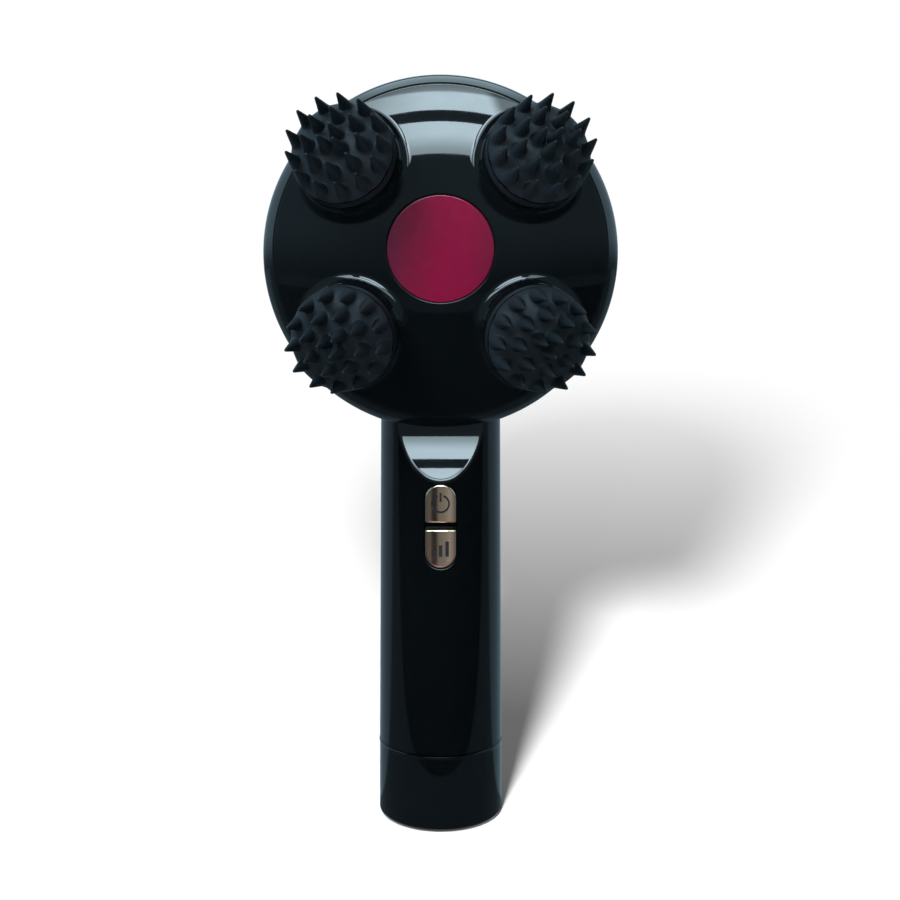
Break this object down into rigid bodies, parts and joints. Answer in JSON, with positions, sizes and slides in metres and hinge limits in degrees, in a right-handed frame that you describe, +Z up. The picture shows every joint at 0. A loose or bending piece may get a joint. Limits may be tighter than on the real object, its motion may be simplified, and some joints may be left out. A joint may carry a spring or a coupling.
{
  "type": "electric scalp massager",
  "caption": "Handheld scalp massager: a straight round handle with push buttons carries a round head with turning silicone massage heads around a red light window.",
  "frame": {"origin": "middle of the flat base that it stands on", "axes": "+Z up along the handle towards the head; the massage heads face -Y; +X is to the right seen from the front"},
  "size_m": [0.0948, 0.0574, 0.2],
  "materials": {
    "gloss_black": "high gloss moulded plastic",
    "silicone": "matt silicone",
    "window": "flat dark red tinted window, glossy",
    "gold_chrome": "mirror plated, warm gold",
    "seal_rubber": "satin rubber",
    "white_plastic": "white reflector",
    "board_green": "solder mask",
    "led": "clear red",
    "hub_grey": "moulded",
    "steel": "satin steel",
    "bronze": "sintered bronze",
    "gear_plastic": "acetal",
    "frame_plastic": "moulded",
    "gearhead_metal": "turned",
    "dark_plastic": "moulded",
    "cell_wrap": "sleeved steel cell"
  },
  "bodies": {
    "massager_body": {"rear_housing": "gloss_black", "front_cover": "gloss_black", "cover_seal": "seal_rubber", "light_window": "window", "reflector": "white_plastic", "led_board": "board_green", "leds": "led", "spindle_bushes": "bronze", "spindle_seals": "seal_rubber", "drive_axle": "steel", "gearbox_base": "frame_plastic", "base_screws": "steel", "gear_cover": "frame_plastic", "cover_screws": "steel", "motor_can": "steel", "motor_gearhead": "gearhead_metal", "motor_mount": "dark_plastic", "power_switch": "dark_plastic", "mode_switch": "dark_plastic", "cell_cradle": "dark_plastic", "control_board": "board_green", "board_screws": "steel", "controller_chip": "dark_plastic", "battery_cell": "cell_wrap", "battery_tabs": "steel", "tail_plug": "dark_plastic", "charging_socket": "steel", "charge_board": "board_green", "cap_seal": "seal_rubber"},
    "drive": {"drive_gear": "gear_plastic", "crown_wheel": "gear_plastic"},
    "rotor": {"motor_shaft": "steel", "motor_pinion": "bronze"},
    "power_button": {"power_button": "gold_chrome"},
    "mode_button": {"mode_button": "gold_chrome"},
    "end_cap": {"end_cap": "gloss_black"},
    "head_upper_right": {"massage_head_upper_right": "silicone", "head_hub_upper_right": "hub_grey", "spindle_upper_right": "steel", "output_gear_upper_right": "gear_plastic"},
    "head_upper_left": {"massage_head_upper_left": "silicone", "head_hub_upper_left": "hub_grey", "spindle_upper_left": "steel", "output_gear_upper_left": "gear_plastic"},
    "head_lower_right": {"massage_head_lower_right": "silicone", "head_hub_lower_right": "hub_grey", "spindle_lower_right": "steel", "output_gear_lower_right": "gear_plastic"},
    "head_lower_left": {"massage_head_lower_left": "silicone", "head_hub_lower_left": "hub_grey", "spindle_lower_left": "steel", "output_gear_lower_left": "gear_plastic"}
  },
  "joints": [
    {"name": "drive_spin", "type": "hinge", "parent": "massager_body", "child": "drive", "pos_m": [0, 0, 0.1526], "axis": [0, -1, 0], "continuous": true},
    {"name": "rotor_spin", "type": "hinge", "parent": "massager_body", "child": "rotor", "pos_m": [0, 0.00396, 0.1526], "axis": [0, 0, 1], "continuous": true},
    {"name": "head_upper_right_spin", "type": "hinge", "parent": "massager_body", "child": "head_upper_right", "pos_m": [0.0243, -0.0213, 0.1755], "axis": [0.2006, -0.9613, 0.189], "continuous": true},
    {"name": "head_upper_left_spin", "type": "hinge", "parent": "massager_body", "child": "head_upper_left", "pos_m": [-0.0243, -0.0213, 0.1755], "axis": [-0.2006, -0.9613, 0.189], "continuous": true},
    {"name": "head_lower_right_spin", "type": "hinge", "parent": "massager_body", "child": "head_lower_right", "pos_m": [0.0243, -0.0213, 0.1297], "axis": [0.2006, -0.9613, -0.189], "continuous": true},
    {"name": "head_lower_left_spin", "type": "hinge", "parent": "massager_body", "child": "head_lower_left", "pos_m": [-0.0243, -0.0213, 0.1297], "axis": [-0.2006, -0.9613, -0.189], "continuous": true},
    {"name": "power_press", "type": "slide", "parent": "massager_body", "child": "power_button", "axis": [0, 1, 0], "range_m": [0, 0.0006], "stiffness_N_per_m": 1500, "springref_m": -0.0006},
    {"name": "mode_press", "type": "slide", "parent": "massager_body", "child": "mode_button", "axis": [0, 1, 0], "range_m": [0, 0.0006], "stiffness_N_per_m": 1500, "springref_m": -0.0006},
    {"name": "cap_pull", "type": "slide", "parent": "massager_body", "child": "end_cap", "axis": [0, 0, -1], "range_m": [0, 0.018]}
  ],
  "couplings": [
    {"joint": "rotor_spin", "follows": "drive_spin", "ratio": 4},
    {"joint": "head_upper_right_spin", "follows": "drive_spin", "ratio": -1.3333},
    {"joint": "head_upper_left_spin", "follows": "drive_spin", "ratio": -1.3333},
    {"joint": "head_lower_right_spin", "follows": "drive_spin", "ratio": -1.3333},
    {"joint": "head_lower_left_spin", "follows": "drive_spin", "ratio": -1.3333}
  ]
}
